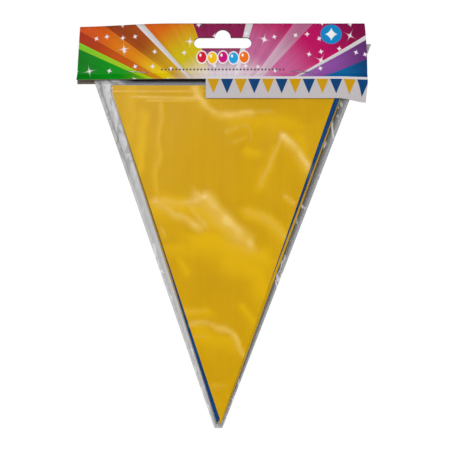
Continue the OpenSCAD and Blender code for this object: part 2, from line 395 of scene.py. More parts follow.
def strewn_with_stars(tree, art, place):
    """Small stars, one in each cell of a grid unless white noise drops it, and a few larger thin glints."""
    cells = add(tree, "VectorMath", {0: place, "Scale": 1 / STAR_CELL}, operation="SCALE")
    corner = add(tree, "VectorMath", {0: cells}, operation="FLOOR")
    in_cell = add(tree, "VectorMath", {0: cells}, operation="FRACTION")
    dice = add(tree, "TexWhiteNoise", {"Vector": corner}, noise_dimensions="2D").outputs["Color"]
    rolls = add(tree, "SeparateXYZ", {0: dice})
    # The star's middle is thrown into the middle half of its cell
    thrown = add(tree, "VectorMath", {0: dice, "Scale": 0.5}, operation="SCALE")
    off = add(tree, "VectorMath", {0: in_cell, 1: thrown}, operation="SUBTRACT")
    off = add(tree, "VectorMath", {0: off, 1: (0.25, 0.25, 0)}, operation="SUBTRACT")
    tip = add(tree, "MapRange", {"Value": rolls.outputs["X"], "To Min": -0.5, "To Max": 0.5})
    off = add(tree, "VectorRotate", {"Vector": off, "Angle": tip}, rotation_type="Z_AXIS")
    kept = add(tree, "Math", {0: rolls.outputs["Z"], 1: 0.36}, operation="GREATER_THAN")
    art = inked(tree, art, linear("E9E3E8"), star(tree, off, 0.19, 0.6, 0.3), kept)
    for glint in GLINTS:
        off = add(tree, "VectorMath", {0: place, 1: (*glint, 0)}, operation="SUBTRACT")
        off = add(tree, "VectorRotate", {"Vector": off, "Angle": 0.15 + glint[0] / 200},
                  rotation_type="Z_AXIS")
        art = inked(tree, art, linear("EDE4EA"), star(tree, off, GLINT_R, 0.3, 0.3))
    return art


# %% A badge with a star, a row of balloons and a dotted rule
BADGE, BADGE_SIZE = (60.7, -2.7), (6.1, 5.4)
BALLOONS = ["D01830", "F2BE00", "C8007C", "1CA0DC", "EE7014"]
BALLOON_PITCH, BALLOON_SIZE = 5.9, (2.55, 3.1)
RULE_LEVEL, RULE_HALF, DOT_R = -22.3, 35, 0.55


def from_oval(tree, place, centre, size):
    """How far a place is from an oval's centre, where 1 is its edge."""
    off = add(tree, "VectorMath", {0: place, 1: (*centre, 0)}, operation="SUBTRACT")
    off = add(tree, "VectorMath", {0: off, 1: (1 / size[0], 1 / size[1], 1)}, operation="MULTIPLY")
    return add(tree, "VectorMath", {0: off}, operation="LENGTH").outputs["Value"]


def party_motifs(tree, art, place, front):
    """The plain motifs of the front panel."""
    badge = from_oval(tree, place, BADGE, BADGE_SIZE)
    art = inked(tree, art, linear("0084C4"), within(tree, badge, 1, 0.08), front)
    badge_off = add(tree, "VectorMath", {0: place, 1: (*BADGE, 0)}, operation="SUBTRACT")
    art = inked(tree, art, linear("F0F0F0"), star(tree, badge_off, 3.6, 0.7, 0.15), front)
    for i, colour in enumerate(BALLOONS):
        x, z = 0.1 + BALLOON_PITCH * (i - 2), -15.4 - 0.5 * (i % 2)
        balloon = from_oval(tree, place, (x, z), BALLOON_SIZE)
        art = inked(tree, art, linear("F2EEF0"), within(tree, balloon, 1.2, 0.1), front)
        art = inked(tree, art, linear(colour), within(tree, balloon, 1, 0.1), front)
        shine = from_oval(tree, place, (x - 0.8, z + 1.1), (0.55, 0.8))
        art = inked(tree, art, linear("FFFFFF"), within(tree, shine, 1, 0.6), front)
    # One dot every 2 mm
    parts = add(tree, "SeparateXYZ", {0: place})
    dot_x = add(tree, "Math", {0: parts.outputs["X"], 1: 1}, operation="PINGPONG")
    dot_z = add(tree, "Math", {0: parts.outputs["Y"], 1: RULE_LEVEL}, operation="SUBTRACT")
    dot = add(tree, "CombineXYZ", {"X": dot_x, "Y": dot_z})
    dot = add(tree, "VectorMath", {0: dot}, operation="LENGTH").outputs["Value"]
    far_x = add(tree, "Math", {0: parts.outputs["X"]}, operation="ABSOLUTE")
    return inked(tree, art, linear("55505A"), within(tree, dot, DOT_R, 0.3),
                 within(tree, far_x, RULE_HALF, 0.1), front)


# %% The strip: a white line, then a row of hanging triangles in two colours
FLAG_PITCH, FLAG_HALF, FLAG_DROP = 7.6, 3.44, 8.2
FIRST_FLAG = -5.2                              # X of the first triangle's middle


def strip_of_flags(tree, art, place, front):
    """The long half of the front panel, below the level of the short half's edge."""
    parts = add(tree, "SeparateXYZ", {0: place})
    x, level = parts.outputs["X"], parts.outputs["Y"]
    past_step = add(tree, "Math", {0: x, 1: strip_low.x}, operation="GREATER_THAN")
    art = inked(tree, art, linear("E2DDE0"), within(tree, level, STEP_LEVEL + 1.4, 0.1), past_step, front)
    on_strip = within(tree, level, STEP_LEVEL, 0.1)
    art = inked(tree, art, linear("C2BCBE"), on_strip, front)
    count = add(tree, "Math", {0: x, 1: FIRST_FLAG - FLAG_PITCH / 2}, operation="SUBTRACT")
    count = add(tree, "Math", {0: count, 1: FLAG_PITCH}, operation="DIVIDE")
    odd = add(tree, "Math", {0: count, 1: 2}, operation="FLOORED_MODULO")
    odd = add(tree, "Math", {0: odd, 1: 1}, operation="GREATER_THAN")
    across = add(tree, "Math", {0: count}, operation="FRACT")
    across = add(tree, "Math", {0: across, 1: 0.5}, operation="SUBTRACT")
    across = add(tree, "Math", {0: across}, operation="ABSOLUTE")
    tip_level = STEP_LEVEL - FLAG_DROP
    half = add(tree, "MapRange", {"Value": level, "From Min": tip_level, "From Max": STEP_LEVEL,
                                  "To Min": 0, "To Max": FLAG_HALF / FLAG_PITCH})
    past = add(tree, "Math", {0: across, 1: half}, operation="SUBTRACT")
    above_tip = add(tree, "Math", {0: level, 1: tip_level}, operation="GREATER_THAN")
    two_colours = inked(tree, linear("CA9600"), linear("003E74"), odd)
    return inked(tree, art, two_colours, within(tree, past, 0, 0.02), on_strip, front, above_tip)


# %% Shader graph of the printed face
def printed_face():
    """Offset print under a thin varnish on coated boxboard: deep flat ink, and only a weak soft shine."""
    material, tree, shader = new_material("varnished_offset_print")
    uv = add(tree, "UVMap", uv_map="flat")
    flat = add(tree, "SeparateXYZ", {0: uv})
    # The back panel repeats the front's print, turned over about the fold
    turned = add(tree, "Math", {0: 2 * FOLD_TOP, 1: flat.outputs["Y"]}, operation="SUBTRACT")
    level = add(tree, "Math", {0: flat.outputs["Y"], 1: turned}, operation="MINIMUM")
    front = add(tree, "Math", {0: flat.outputs["Y"], 1: FOLD_TOP}, operation="LESS_THAN")
    place = add(tree, "CombineXYZ", {"X": flat.outputs["X"], "Y": level})
    art = strewn_with_stars(tree, starburst(tree, place), place)
    art = party_motifs(tree, art, place, front)
    art = strip_of_flags(tree, art, place, front)
    # Ink cracks and shows the white board along the fold
    from_fold = add(tree, "Math", {0: flat.outputs["Y"], 1: FOLD_TOP}, operation="SUBTRACT")
    from_fold = add(tree, "Math", {0: from_fold}, operation="ABSOLUTE")
    cracks = add(tree, "TexNoise", {"Vector": uv, "Scale": 1 / 0.7, "Detail": 3})
    cracks = add(tree, "MapRange", {"Value": cracks, "From Min": 0.6, "From Max": 0.68, "To Max": 0.6})
    art = inked(tree, art, linear("DDD6D2"), cracks, within(tree, from_fold, 0.9, 1.2))
    tree.links.new(art.outputs[2], shader.inputs["Base Color"])
    # Board texture, 0.35 mm from fibre to fibre, and slow swells in the varnish
    fibre = add(tree, "TexNoise", {"Vector": uv, "Scale": 1 / 0.35, "Detail": 2})
    gloss = add(tree, "TexNoise", {"Vector": uv, "Scale": 1 / 14, "Detail": 2})
    rough = add(tree, "MapRange", {"Value": gloss, "From Min": 0.3, "From Max": 0.7, "To Min": 0.42,
                                   "To Max": 0.55})
    bump = add(tree, "Bump", {"Height": fibre, "Strength": 0.12, "Distance": 0.02 * MM})
    tree.links.new(rough.outputs[0], shader.inputs["Roughness"])
    tree.links.new(bump.outputs[0], shader.inputs["Normal"])
    shader.inputs["IOR"].default_value = 1.5
    shader.inputs["Specular IOR Level"].default_value = 0.08
    return material


# %% Shader graph of the raw board
def raw_board():
    """The uncoated back and the cut edge of boxboard: matt grey-brown waste fibre with dark specks, painted
    darker as painted shade.
    """
    material, tree, shader = new_material("raw_greyboard")
    uv = add(tree, "UVMap", uv_map="flat")
    fibre = add(tree, "TexNoise", {"Vector": uv, "Scale": 1 / 0.6, "Detail": 5, "Distortion": 0.8})
    colour = add(tree, "ValToRGB", {"Fac": fibre})
    # The board's own grey-brown, painted darker than it is as painted shade
    colour.color_ramp.elements[0].position = 0.3
    colour.color_ramp.elements[0].color = linear("51453B")
    colour.color_ramp.elements[1].position = 0.65
    colour.color_ramp.elements[1].color = linear("7C7064")
    bump = add(tree, "Bump", {"Height": fibre, "Strength": 0.4, "Distance": 0.05 * MM})
    tree.links.new(colour.outputs[0], shader.inputs["Base Color"])
    tree.links.new(bump.outputs[0], shader.inputs["Normal"])
    shader.inputs["Roughness"].default_value = 0.9
    return material


# %% [markdown]
# ## The header card
#
# The long half of the front panel runs on as a strip. The CAD has the strip as a node of its own because it
# flaps, but on the real one no gap shows. So one blank is cut here, slot holes and staple holes included,
# and bent by the table of levels. Then it gets what handling does to card: it bows between the staples,
# one end droops and the other end curls.

# %% Cut the blank
WIRE_D = 0.5
LEG_HOLE_R = 0.33                              # around a staple's leg


def slot_loop():
    """The outline of the hang slot: a straight slot with round ends, and a half-round notch over it."""
    end_r = SLOT_H / 2
    end_x = SLOT_W / 2 - end_r
    level = -NOTCH_R - end_r
    return (arc(end_x, level, end_r, -90, 90, 12) + arc(0, -NOTCH_R, NOTCH_R, 0, 180, 20)
            + arc(-end_x, level, end_r, 90, 270, 12))


def cut_blank():
    """The flat blank with the holes for the hook and the staple legs, cut across so that it can bend."""
    left, right = card_low.x, card_high.x
    outline = [(left, LEVELS[-1]), (right, LEVELS[-1]), (right, LEVELS[0]), (strip_low.x, LEVELS[0]),
               (strip_low.x, STEP_LEVEL), (left, STEP_LEVEL)]
    holes = [slot_loop()]
    for name, middle in staples.items():
        low, high = node_box(name)
        lean = (high.z - low.z - WIRE_D) / (high.x - low.x)
        for side in (-1, 1):
            leg_x = middle.x + side * (high.x - low.x - WIRE_D) / 2
            leg_z = middle.z - lean * (leg_x - middle.x)
            holes.append(arc(leg_x, leg_z, LEG_HOLE_R, 0, 324, 9))
    turned = [[(x, 2 * FOLD_TOP - level) for x, level in hole] for hole in holes]
    bm = filled([outline] + holes + turned)
    rows = sorted(LEVELS[1:-1] + list(np.arange(LEVELS[0] + 1.2, LEVELS[-1], 1.5)))
    for level in rows:
        cut(bm, (0, level, 0), (0, 1, 0))
    for x in np.arange(left + 2, right, 2):
        cut(bm, (x, 0, 0), (1, 0, 0))
    bmesh.ops.dissolve_degenerate(bm, dist=0.01, edges=bm.edges[:])
    return bm


# %% How handling has bent the card
BOW, WAVE = 0.3, 0.35                          # the card bows and waves between the staples
HELD_R = 14                                    # a staple holds it flat this far around
STAPLE_LEVEL = -23.7
DROOP = (-28, -86)                             # the left end droops between these X
NARROW = (58, 81.5)                            # the right end narrows between these
CURL = (64, 82)                                # and the strip's corner curls between these


def card_place(x, level):
    """Where a point of the flat blank ends up."""
    y = float(np.interp(level, LEVELS, PROFILE_Y))
    z = float(np.interp(level, LEVELS, PROFILE_Z))
    side = 1 if level > FOLD_TOP else -1
    height = (z - STEP_LEVEL) / (FOLD_TOP - STEP_LEVEL)
    held = max(math.exp(-((x - middle.x) / HELD_R) ** 2) for middle in staples.values())
    body = ramp(abs(z - FOLD_TOP), 1, 9)
    y += side * body * BOW * (1 - held)
    y += body * WAVE * swell(x, level, 42, seed=2) * ramp(abs(z - STAPLE_LEVEL), 1, 9)
    # The left end droops and leans in
    droop = ramp(x, *DROOP)
    z -= droop * (0.6 + 1.4 * height)
    x += droop * (-0.65 + 1.95 * height)
    # The right end narrows to the top, and the strip's corner curls down and back
    x -= ramp(x, *NARROW) * (0.1 + 1.6 * max(0, height) ** 2)
    if level < STEP_LEVEL + 6:
        corner = ramp(x, *CURL)
        curl = ramp(-level, -STEP_LEVEL, -LEVELS[0])
        z -= corner * (0.5 * ramp(-level, -STEP_LEVEL - 6, -STEP_LEVEL) + 1.9 * curl)
        x -= corner * curl
        y += 1.6 * corner * corner * curl
    return Vector((x, y, z))


# %% Fold it
PRINT, BOARD = printed_face(), raw_board()
bm = cut_blank()
keep_flat_uv(bm)
for vertex in bm.verts:
    vertex.co = card_place(vertex.co.x, vertex.co.y)
header = finish_sheet(bm, "folded_header_card", CARD_T, [PRINT, BOARD], inner=1, rim=1)
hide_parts("header_card", "header_strip")
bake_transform(header)

# %% [markdown]
# ## Bag film
#
# The bag is clear polypropylene film, 0.05 mm thick. A film that thin is hardly seen where it lies flat on
# the pennants: there it only adds gloss, and a painted highlight on its folds. It shows where it stands
# free, beside the pennants, because it is creased there, and each crease bends the light; there its greys
# are painted light and shade. So the film is a glossy surface with an alpha and a colour that the mesh
# decides. It carries four attributes: beyond, how many millimetres a place lies outside the pile of
# pennants; outwards, the same as a share of the margin beside the pile; fold_highlight, how strong the
# painted highlight of a fold is; and pocket, how deep the place lies in the dark mouth of the header,
# where shade is painted.

# %% How much of the film shows, and the greys of its two margins
FLAT_ALPHA, HIGHLIGHT_ALPHA = 0.002, 0.16
NEAR_ALPHA, FAR_ALPHA = 0.55, 0.42             # where it stands free, beside the pile and at the weld
# Light comes from the left: that margin is pale, and the right one is dark next to the pile
LEFT_GREYS = [(0, "DAD8D6"), (0.2, "E4E3E6"), (0.6, "DCDCDE"), (0.68, "9A9B9C"), (0.78, "C8C8C9"),
              (1, "AAAAAB")]
RIGHT_GREYS = [(0, "343331"), (0.14, "3C3B3A"), (0.45, "6E6E70"), (0.8, "A2A2A6"), (1, "8E8E90")]


# %% Shader graph of the film
def clear_film():
    """Cast polypropylene film: glossy and see-through, with a painted highlight on its folds, and a grey of
    painted light and shade where it stands free.
    """
    material, tree, shader = new_material("clear_polypropylene_film")
    uv = add(tree, "UVMap", uv_map="flat")
    beyond = add(tree, "Attribute", attribute_name="beyond").outputs["Fac"]
    free = add(tree, "MapRange", {"Value": beyond, "From Max": 0.4})
    outwards = add(tree, "Attribute", attribute_name="outwards").outputs["Fac"]
    fold_highlight = add(tree, "Attribute", attribute_name="fold_highlight").outputs["Fac"]
    pocket = add(tree, "Attribute", attribute_name="pocket").outputs["Fac"]
    flat = add(tree, "SeparateXYZ", {0: uv})
    # Creases lie across the bag's margins, about 5 mm apart and 11 mm long
    along = add(tree, "Mapping", {"Vector": uv, "Rotation": (0, 0, 0.5), "Scale": (1 / 5, 1 / 11, 1)})
    creased = add(tree, "TexNoise", {"Vector": along, "Scale": 1, "Detail": 2, "Distortion": 1.6})
    # Free film scatters some light, most of all in the shade under the header and beside the pile
    near_pile = add(tree, "MapRange", {"Value": outwards, "From Max": 0.9, "To Min": NEAR_ALPHA,
                                       "To Max": FAR_ALPHA})
    highlight_alpha = add(tree, "MapRange", {"Value": fold_highlight, "To Min": FLAT_ALPHA, "To Max": HIGHLIGHT_ALPHA})
    alpha = add(tree, "Mix", {0: free, 2: highlight_alpha, 3: near_pile})
    tree.links.new(alpha.outputs[0], shader.inputs["Alpha"])
    left = add(tree, "ValToRGB", {"Fac": outwards})
    right = add(tree, "ValToRGB", {"Fac": outwards})
    for margin, greys in ((left, LEFT_GREYS), (right, RIGHT_GREYS)):
        stops = margin.color_ramp.elements
        for i, (position, code) in enumerate(greys):
            stop = stops[i] if i < 2 else stops.new(position)
            stop.position = position
            stop.color = linear(code)
    # Painted shade of dents darkens the left margin near the header; lower down it is a smooth pale grey
    painted_dent_shade = add(tree, "MapRange", {"Value": creased, "From Min": 0.5, "From Max": 0.4, "To Max": 0.6})
    left = add(tree, "Mix", {0: painted_dent_shade, 6: left, 7: linear("8A898A")}, data_type="RGBA")
    upper = add(tree, "MapRange", {"Value": flat.outputs["Y"], "From Min": -95, "From Max": -65})
    left = add(tree, "Mix", {0: upper, 6: linear("D1D0D0"), 7: left}, data_type="RGBA")
    side = add(tree, "MapRange", {"Value": flat.outputs["X"], "From Min": -8, "From Max": 6})
    grey = add(tree, "Mix", {0: side, 6: left, 7: right}, data_type="RGBA")
    # Painted glints: pale flecks on the free film where its creases would catch the light
    glints = add(tree, "MapRange", {"Value": creased, "From Min": 0.6, "From Max": 0.68, "To Max": 0.8})
    grey = add(tree, "Mix", {0: glints, 6: grey, 7: linear("F0F0F2")}, data_type="RGBA")
    # A shade less than a millimetre wide lies right along the pile
    contact = add(tree, "MapRange", {"Value": beyond, "From Min": 0.2, "From Max": 0.9, "To Min": 0.85,
                                     "To Max": 0})
    grey = add(tree, "Mix", {0: contact, 6: grey, 7: linear("1E1A12")}, data_type="RGBA")
    # Painted shade in the header's mouth: a blue grey, and nearly black right under the card's edge
    shade = add(tree, "ValToRGB", {"Fac": pocket})
    shade.color_ramp.elements[0].position = 0.35
    shade.color_ramp.elements[0].color = linear("868C94")
    shade.color_ramp.elements[1].position = 0.8
    shade.color_ramp.elements[1].color = linear("0C0A08")
    in_pocket = add(tree, "MapRange", {"Value": pocket, "From Max": 0.2})
    grey = add(tree, "Mix", {0: in_pocket, 6: grey, 7: shade}, data_type="RGBA")
    # Over the pennants the film is a warm pale that shows only where its alpha rises on a fold: a painted
    # highlight
    tone = add(tree, "Mix", {0: free, 6: linear("FFEBA0"), 7: grey}, data_type="RGBA")
    tree.links.new(tone.outputs[2], shader.inputs["Base Color"])
    slow = add(tree, "TexNoise", {"Vector": uv, "Scale": 1 / 12, "Detail": 1})
    bump = add(tree, "Bump", {"Height": slow, "Strength": 0.4, "Distance": 0.5 * MM})
    tree.links.new(bump.outputs[0], shader.inputs["Normal"])
    rough = add(tree, "MapRange", {"Value": free, "To Min": 0.26, "To Max": 0.5})
    tree.links.new(rough.outputs[0], shader.inputs["Roughness"])
    shader.inputs["IOR"].default_value = 1.49
    shader.inputs["Coat Weight"].default_value = 0.15
    shader.inputs["Coat Roughness"].default_value = 0.15
    return material


# %% [markdown]
# ## The bag's two plies
#
# Both plies are cut from one outline: a V with a blunt tip, and a bite at the top where the hang slot was
# punched through card and film together. They are welded along both sides and across the tip. From the
# weld the film rises over a few millimetres to lie on the pennants. The cuts down the bag fan out from the
# point where its two sides would meet, so every column of faces runs along the film, and the weld is
# a clean line. The creases are drawn where film under tension has them: from the staples, along the hems,
# and down the sides.

# %% The bag's outline and thickness
mouth_low, mouth_high = node_box("bag_mouth_front")
bag_low = node_box("bag_front_film")[0]
tip_points = [point.x for point in node_points("bag_front_film") if point.z < bag_low.z + 0.01]
BAG_TOP, BAG_BOTTOM = mouth_high.z, bag_low.z
SIDES = [(mouth_low.x, min(tip_points)), (mouth_high.x, max(tip_points))]
WELD = 1.0
FILM_T = 0.05
# Level, and how far the film stands off the middle plane there
STAND_OFF = [(-222, 0.95), (-31, 2.42), (-30, 2.1), (-29.15, 1.42), (-24.8, 0.1), (-22, 0.06), (-8, 0.06)]
APEX_Z = BAG_TOP - (BAG_TOP - BAG_BOTTOM) * (SIDES[1][0] - SIDES[0][0]) / (
    SIDES[1][0] - SIDES[0][0] - SIDES[1][1] + SIDES[0][1])


def side_x(side, z):
    """X of the bag's left or right edge at a level."""
    top, bottom = SIDES[side]
    return top + (bottom - top) * (BAG_TOP - z) / (BAG_TOP - BAG_BOTTOM)


APEX = Vector((side_x(0, APEX_Z), APEX_Z, 0))
print("The bag is", round(SIDES[1][0] - SIDES[0][0], 1), "mm wide at its mouth, and its sides would meet",
      round(BAG_BOTTOM - APEX_Z, 1), "mm below its tip")

# %% The outline of the pile
pennant_nodes = sorted((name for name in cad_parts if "_pennant_" in name), key=lambda name: name[-2:])
edges = []                                     # of each pennant: the tip, and both corners of its hem
for node in pennant_nodes:
    points = node_points(node)
    edges.append([min(points, key=lambda p: p.z), min(points, key=lambda p: p.x),
                  max(points, key=lambda p: p.x)])
PILE_TOP = max(corner.z for edge in edges for corner in edge)
PILE_TIP = min(corner.z for edge in edges for corner in edge)
print("The pile reaches from", round(PILE_TIP, 1), "to", round(PILE_TOP, 1), "mm")

# %% Folds and bows
# Folds of the front ply, drawn down the pack: a route, its reach, and its height and painted highlight
FOLDS = [
    ([(-15, -31), (-13, -37), (-8, -43.5), (0, -47), (9, -47.2), (16, -46)], 2.0, 0.5, 0.75),
    ([(-5, -45.8), (28, -45.8)], 1.3, 0.2, 0.35),
    ([(35, -60), (38, -63), (43, -67.5), (49, -76.5)], 2.6, 0.6, 1.0),
    ([(34, -60.5), (31, -66), (26, -78), (22, -88.5)], 0.9, 0.3, 0.3),
    ([(-9.5, -94), (-2, -102), (6, -109.5), (14, -117)], 4.6, 0.8, 0.85),
    ([(-38, -95.5), (-26, -103.4), (-12.5, -110)], 1.9, 0.5, 0.7),
    ([(-37, -95.5), (-24, -98.2), (-9.5, -96)], 1.8, 0.35, 0.45),
    ([(-16, -99.7), (-9.5, -109)], 1.8, 0.3, 0.5),
    ([(14, -101), (26, -105.7), (36, -116)], 2.2, 0.4, 0.3),
    ([(34.6, -92.5), (40.6, -98)], 1.1, 0.3, 0.5),
    ([(1, -57), (8, -54.4), (15, -53.7)], 0.8, 0.25, 0.45),
    ([(1, -63.4), (12.5, -61)], 0.6, 0.2, 0.35),
    ([(14.5, -53), (15.8, -63)], 0.8, 0.25, 0.3),
    ([(-33.5, -41), (-35, -66), (-37, -92)], 0.7, 0.25, 0.22),
    ([(-33.4, -112.5), (-32.4, -115)], 1.2, 0.2, 0.4),
    ([(-18, -164.3), (-8, -164.3), (1, -167), (7, -171), (12, -182)], 1.5, 0.5, 0.75),
    ([(-21, -158), (-10.7, -156)], 1.2, 0.2, 0.22),
    ([(-16, -171), (-7.4, -170.9)], 0.6, 0.2, 0.22),
    ([(-12, -178.4), (-2.3, -178.4)], 0.5, 0.2, 0.2),
    ([(-6, -198.6), (0.3, -198.6)], 1.1, 0.2, 0.25),
    ([(-61, -34.6), (-10, -34.5)], 0.45, 0.1, 0.4),
    ([(-50, -37.6), (-30, -38.2), (-8, -38.6)], 0.9, 0.2, 0.5),
    ([(-42, -40), (-9, -39.8)], 0.5, 0.15, 0.5),
]
# Painted light on wide bows of the front pennant, where they would catch more light: a route, its reach and
# how much lighter it is painted
BOWS = [
    ([(-44, -48), (-45.4, -78)], 2.6, 0.8), ([(-50, -34), (-52, -60)], 4, 0.5),
    ([(-33.5, -42), (-37, -91)], 1.6, 0.6), ([(-36, -96), (-12, -100), (4, -112)], 6, 1.0),
    ([(-12, -116), (4, -121), (21, -126)], 6.5, 1.0), ([(4, -128), (19.5, -135), (24, -147)], 5, 0.9),
    ([(14.5, -101), (26.4, -105.7), (35.4, -115.4)], 3.4, 1.0), ([(10, -50), (40, -52)], 5, 0.7),
    ([(13.6, -67.5), (19.7, -68.5)], 2.2, 0.9), ([(31, -66), (22, -88.5)], 2.6, 0.7),
    ([(44, -62), (46, -74)], 5, 0.8), ([(11.2, -154.7), (17.6, -163)], 2.4, 0.9),
    ([(-22.8, -129), (-19.6, -136)], 2, 0.8), ([(-21, -158), (-8, -157)], 2.6, 0.8),
    ([(-15, -168), (8, -176)], 4, 0.7), ([(-30, -122), (-8, -124)], 3, 0.6),
]
STEEPER = 2.0                                  # a fold falls off faster on the left of its route
HEM_FOLDS = -42                                # folds above this level run straight, along the hem
print(len(FOLDS), "folds of the film, and", len(BOWS), "bows of the front pennant")


# %% How high a fold stands at a place
def from_route(x, z, route):
    """How far points are from a route of straight runs, counted longer on its left-hand side."""
    nearest = np.full(len(x), 1e3)
    for (x0, z0), (x1, z1) in zip(route, route[1:]):
        run = np.array((x1 - x0, z1 - z0))
        t = np.clip(((x - x0) * run[0] + (z - z0) * run[1]) / (run @ run), 0, 1)
        away = np.hypot(x - x0 - t * run[0], z - z0 - t * run[1])
        on_left = run[0] * (z - z0) - run[1] * (x - x0) > 0
        nearest = np.minimum(nearest, np.where(on_left, STEEPER * away, away))
    return nearest


def folds_at(places):
    """Height of the folds, their painted highlight, and the front pennant's painted glow, at an array of
    flat places.
    """
    x, z = places[:, 0].copy(), places[:, 1].copy()
    # Below the hem the folds wander, and come and go a little along their way
    below_hem = ((HEM_FOLDS - z) / 5).clip(0, 1)
    wander = np.array([(swell(a, b, 11, seed=1), swell(a, b, 9, seed=4)) for a, b in places])
    strength = np.array([0.85 + 0.5 * swell(a, b, 7, seed=6) for a, b in places]).clip(0.1, 1.1)
    x += 2.4 * wander[:, 0] * below_hem
    z += 2.0 * wander[:, 1] * below_hem
    height, highlight_share, glow_share = np.zeros(len(x)), np.zeros(len(x)), np.zeros(len(x))
    for route, reach, high, pale in FOLDS:
        share = np.exp(-(from_route(x, z, route) / (1.3 * reach)) ** 2)
        height += high * share
        highlight_share = np.maximum(highlight_share, pale * share * strength)
    for route, reach, light in BOWS:
        share = np.exp(-(from_route(x, z, route) / (1.4 * reach)) ** 2)
        glow_share = np.maximum(glow_share, 0.85 * light * share)
    return height, highlight_share, np.maximum(glow_share, 1.7 * highlight_share)


# %% How the pile swells, and how far a place lies outside it
def pile_swell(x, z):
    """The slow swell that all pennants and both plies share, so that they stay nested."""
    fade = ramp(-z, 34, 60) * ramp(z, PILE_TIP, -190)
    return fade * (0.9 * swell(x, z, 60, 1.4, seed=5) + 0.22 * swell(x, z, 15, 7, seed=9))


def outside(x, z, sheets):
    """How far a place lies outside all of some pennants. It is below 0 where one of them covers it."""
    # The sides of a pennant stand upright along its hem, above its corners
    return min(max(tip.x + (left.x - tip.x) * (min(z, left.z) - tip.z) / (left.z - tip.z) - x,
                   x - tip.x - (right.x - tip.x) * (min(z, right.z) - tip.z) / (right.z - tip.z),
                   z - PILE_TOP,
                   tip.z - z)
               for tip, left, right in sheets)


# %% Where a point of a ply ends up
SHELF, SHELF_MORE = 0.9, 3.2                   # width of the film's rise at the tip, and how much it grows
MOUTH = (-30, -36)                             # the film comes free of the header between these levels
CRUMPLE, CRINKLE = 0.5, 0.3                    # how high the free film waves, and crinkles near the header
RIGHT_CRUMPLE = 0.35                           # the right margin is pulled smoother, by this share


def film_place(x, z, side, fold):
    """Where a point of one flat ply ends up, how far it is beyond the pile, in millimetres and as a share
    of the margin, and how deep in the header's mouth. side is -1 for the front ply and 1 for the back."""
    from_edge = min(x - side_x(0, z), side_x(1, z) - x)
    shelf = SHELF + SHELF_MORE * ramp(z, BAG_BOTTOM, PILE_TOP)
    stand_off = float(np.interp(z, *zip(*STAND_OFF)))
    rise = ramp(from_edge, WELD, WELD + shelf)
    beyond = outside(x, z, edges)
    free = ramp(beyond, 0, 0.5)
    outwards = min(1.0, max(0.0, beyond / max(0.5, beyond + from_edge)))
    loose = rise * ramp(z, *MOUTH)
    height = FILM_T / 2 + 0.01 + stand_off * rise
    if side < 0:
        height += loose * fold
    height += loose * 0.1 * (1 + 2 * swell(x * side, z, 9, 1.5, seed=7 + side))
    # Beside the pennants the film waves, and it is crinkled only near the header
    crumple = CRUMPLE * swell(x, z, 6, 2.6, seed=11 + side)
    crumple += CRINKLE * swell(x, z, 2.4, 1.6, seed=13) * ramp(z, -62, -44)
    crumple *= 1.0 if x < 0 else RIGHT_CRUMPLE
    height += crumple * free * ramp(from_edge, WELD, WELD + 1.5) * ramp(-z, 29, 33)
    y = side * max(height, FILM_T / 2) + pile_swell(x, z) * ramp(from_edge, WELD, WELD + 4)
    # The two edges wander a little, as a hand-packed bag's do
    y += 0.5 * swell(x, z, 26, seed=3) * (1 - rise) * ramp(-z, 32, 50)
    # In the header's mouth: 0 at the top of the pile, 1 at the card's lower edge
    depth = 0.3 + 0.7 * ramp(z, PILE_TOP + 1.2, STEP_LEVEL - 0.2)
    pocket = depth * ramp(z, PILE_TOP - 0.4, PILE_TOP + 0.2) * ramp(x, -60, -48) * ramp(-x, -62, -56)
    return Vector((x, y, z)), beyond, outwards, pocket


# %% Make both plies
def cut_ply():
    """One flat ply, cut across and down."""
    bite_r = SLOT_H / 2 + 0.6
    end_x, level = (SLOT_W - SLOT_H) / 2, -NOTCH_R - SLOT_H / 2
    start = math.degrees(math.asin((BAG_TOP - level) / bite_r))
    outline = [(SIDES[0][0], BAG_TOP), (SIDES[0][1], BAG_BOTTOM), (SIDES[1][1], BAG_BOTTOM),
               (SIDES[1][0], BAG_TOP)]
    outline += arc(end_x, level, bite_r, start, -90, 6) + arc(-end_x, level, bite_r, -90, -180 - start, 6)
    bm = filled([outline])
    rows = list(np.arange(BAG_BOTTOM + 1.6, -45, 1.6)) + list(np.arange(-45, -28, 0.8))
    for z in rows + list(np.arange(-28, BAG_TOP, 1.8)):
        cut(bm, (0, z, 0), (0, 1, 0))
    columns = 112
    top = [SIDES[0][0] + (SIDES[1][0] - SIDES[0][0]) * i / columns for i in range(1, columns)]
    for x in top:
        down = Vector((x, BAG_TOP, 0)) - APEX
        cut(bm, APEX, Vector((down.y, -down.x, 0)).normalized())
    for side in (0, 1):
        along = Vector((SIDES[side][0] - SIDES[side][1], BAG_TOP - BAG_BOTTOM, 0)).normalized()
        inwards = Vector((along.y, -along.x, 0)) * (1 if side == 0 else -1)
        for width in (WELD, WELD + 0.4):
            cut(bm, Vector((SIDES[side][0], BAG_TOP, 0)) + inwards * width, inwards)
    bmesh.ops.dissolve_degenerate(bm, dist=0.01, edges=bm.edges[:])
    return bm


